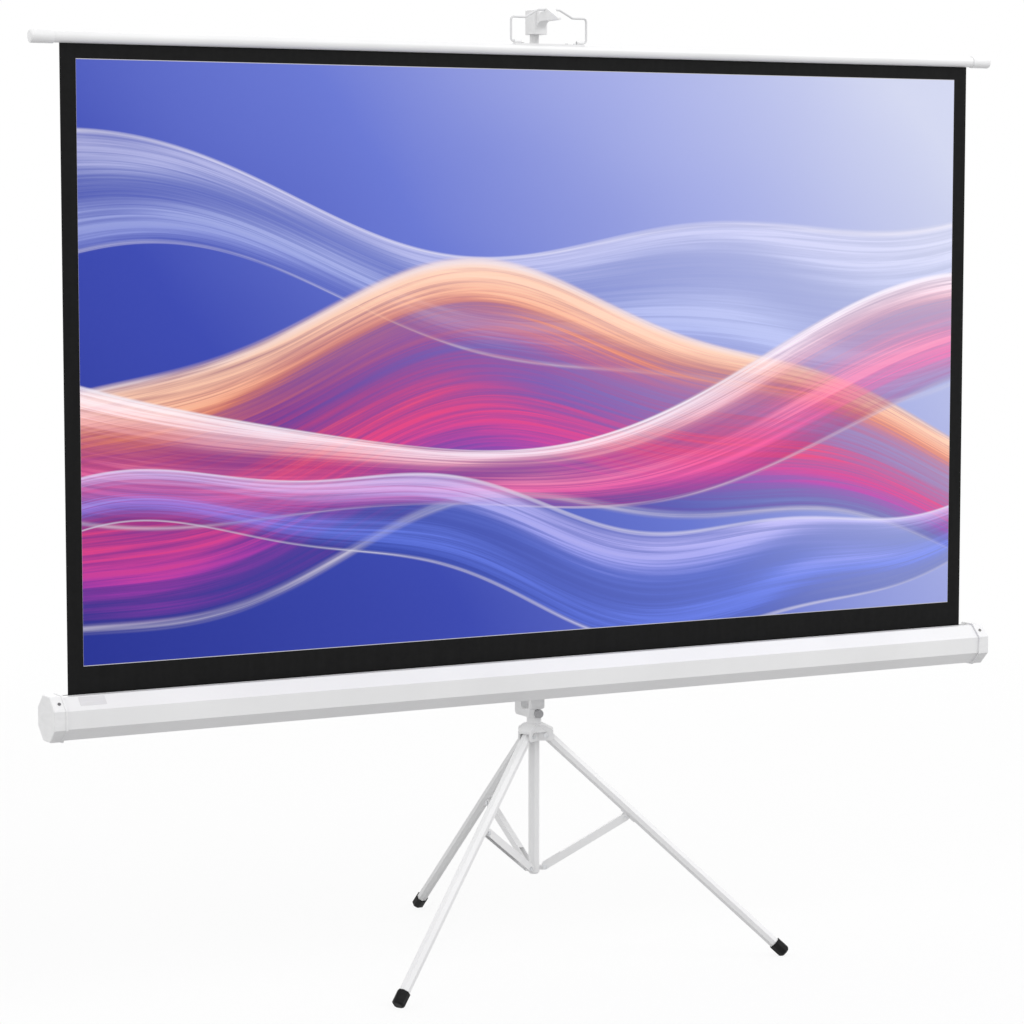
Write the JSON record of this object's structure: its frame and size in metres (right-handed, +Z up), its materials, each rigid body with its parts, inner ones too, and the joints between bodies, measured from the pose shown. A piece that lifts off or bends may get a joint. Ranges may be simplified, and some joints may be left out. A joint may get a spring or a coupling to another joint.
{
  "type": "tripod projection screen",
  "caption": "Free-standing pull-up projection screen: octagonal roller case on a folding tripod, telescopic mast with a hook that holds the screen's top batten by a wire bail",
  "frame": {"origin": "centre of the footprint's bounding rectangle, on the floor", "axes": "+X along the screen to the viewer's right, screen faces -Y, +Z up"},
  "size_m": [2.412, 0.8758, 2.13],
  "materials": {
    "case_paint": "white powder coat",
    "white_paint": "white powder coat",
    "white_plastic": "moulded, matt",
    "grey_plastic": "moulded, matt",
    "steel": "zinc plated",
    "rubber": "matt",
    "screen": "matt white PVC face with black masking border and black back"
  },
  "bodies": {
    "pole": {"pole_tube": "white_paint", "pole_foot_plug": "white_plastic", "pole_foot_pins": "steel", "pole_top_collar": "white_plastic"},
    "hub": {"tripod_hub": "white_plastic", "hip_bolts": "steel"},
    "case": {"carriage_sleeve": "white_plastic", "swivel_plate": "white_paint", "swivel_rivets": "steel", "swivel_washer": "grey_plastic", "swivel_bolt": "steel", "swivel_nut": "steel", "case_shell": "case_paint", "case_cap_left": "white_plastic", "case_cap_right": "white_plastic", "case_cap_screws": "steel", "roller_bearing_left": "grey_plastic", "roller_bearing_right": "grey_plastic", "spring_spindle": "steel"},
    "roller": {"roller_tube": "case_paint", "wound_sheet": "screen", "roller_plug_left": "grey_plastic", "roller_plug_right": "grey_plastic", "roller_spring": "steel"},
    "mast_head": {"extension_tube": "white_paint", "extension_glide": "grey_plastic", "hook_head": "white_plastic", "batten_tube": "case_paint", "hem_rod": "case_paint", "batten_cap_left": "white_plastic", "batten_cap_right": "white_plastic", "bail_plate": "white_paint", "bail_screws": "steel", "screen_sheet": "screen"},
    "bail": {"bail": "white_paint"},
    "extension_lock": {"extension_lock_knob": "grey_plastic", "extension_lock_stud": "steel"},
    "carriage_lock": {"carriage_lock_knob": "grey_plastic", "carriage_lock_stud": "steel"},
    "leg_front_left": {"leg_head_front_left": "white_plastic", "leg_tube_front_left": "white_paint", "knee_lug_front_left": "white_paint", "foot_cap_front_left": "rubber"},
    "brace_front_left": {"brace_front_left": "white_paint", "brace_rivets_front_left": "steel"},
    "leg_front_right": {"leg_head_front_right": "white_plastic", "leg_tube_front_right": "white_paint", "knee_lug_front_right": "white_paint", "foot_cap_front_right": "rubber"},
    "brace_front_right": {"brace_front_right": "white_paint", "brace_rivets_front_right": "steel"},
    "leg_rear": {"leg_head_rear": "white_plastic", "leg_tube_rear": "white_paint", "knee_lug_rear": "white_paint", "foot_cap_rear": "rubber"},
    "brace_rear": {"brace_rear": "white_paint", "brace_rivets_rear": "steel"}
  },
  "joints": [
    {"name": "tripod_fold", "type": "slide", "parent": "pole", "child": "hub", "axis": [0, 0, 1], "range_m": [0, 0.17356], "deforming": ["screen_sheet"]},
    {"name": "leg_front_left_hip", "type": "hinge", "parent": "hub", "child": "leg_front_left", "pos_m": [-0.02425, -0.15389, 0.507], "axis": [0.5, -0.866, 0], "range_deg": [0, 43.3]},
    {"name": "brace_front_left_knee", "type": "hinge", "parent": "leg_front_left", "child": "brace_front_left", "pos_m": [-0.18013, -0.24389, 0.31572], "axis": [-0.5, 0.866, 0], "range_deg": [0, 100.91]},
    {"name": "leg_front_right_hip", "type": "hinge", "parent": "hub", "child": "leg_front_right", "pos_m": [0.02425, -0.15389, 0.507], "axis": [0.5, 0.866, 0], "range_deg": [0, 43.3]},
    {"name": "brace_front_right_knee", "type": "hinge", "parent": "leg_front_right", "child": "brace_front_right", "pos_m": [0.18013, -0.24389, 0.31572], "axis": [-0.5, -0.866, 0], "range_deg": [0, 100.91]},
    {"name": "leg_rear_hip", "type": "hinge", "parent": "hub", "child": "leg_rear", "pos_m": [0, -0.11189, 0.507], "axis": [-1, 0, 0], "range_deg": [0, 43.3]},
    {"name": "brace_rear_knee", "type": "hinge", "parent": "leg_rear", "child": "brace_rear", "pos_m": [0, 0.06811, 0.31572], "axis": [1, 0, 0], "range_deg": [0, 100.91]},
    {"name": "case_lift", "type": "slide", "parent": "hub", "child": "case", "axis": [0, 0, 1], "range_m": [0, 0.3], "deforming": ["screen_sheet"]},
    {"name": "mast_extension", "type": "slide", "parent": "pole", "child": "mast_head", "axis": [0, 0, 1], "range_m": [-0.8, 0], "deforming": ["screen_sheet"]},
    {"name": "roller_spin", "type": "hinge", "parent": "case", "child": "roller", "pos_m": [0, -0.22419, 0.645], "axis": [1, 0, 0], "range_deg": [-2266, 2]},
    {"name": "bail_lean", "type": "hinge", "parent": "mast_head", "child": "bail", "pos_m": [0, -0.20389, 2.0525], "axis": [-1, 0, 0], "range_deg": [0, 18]},
    {"name": "extension_lock_turn", "type": "hinge", "parent": "pole", "child": "extension_lock", "pos_m": [0, -0.11609, 1.249], "axis": [0, 1, 0], "range_deg": [0, 180]},
    {"name": "carriage_lock_turn", "type": "hinge", "parent": "case", "child": "carriage_lock", "pos_m": [0, -0.16269, 0.55615], "axis": [0, -1, 0], "range_deg": [0, 180]}
  ],
  "couplings": [
    {"joint": "leg_front_left_hip", "follows": "tripod_fold", "rad_per_m": 4.3541},
    {"joint": "brace_front_left_knee", "follows": "tripod_fold", "rad_per_m": 10.148},
    {"joint": "leg_front_right_hip", "follows": "tripod_fold", "rad_per_m": 4.3541},
    {"joint": "brace_front_right_knee", "follows": "tripod_fold", "rad_per_m": 10.148},
    {"joint": "leg_rear_hip", "follows": "tripod_fold", "rad_per_m": 4.3541},
    {"joint": "brace_rear_knee", "follows": "tripod_fold", "rad_per_m": 10.148},
    {"joint": "roller_spin", "follows": "mast_extension", "rad_per_m": 49.383}
  ]
}
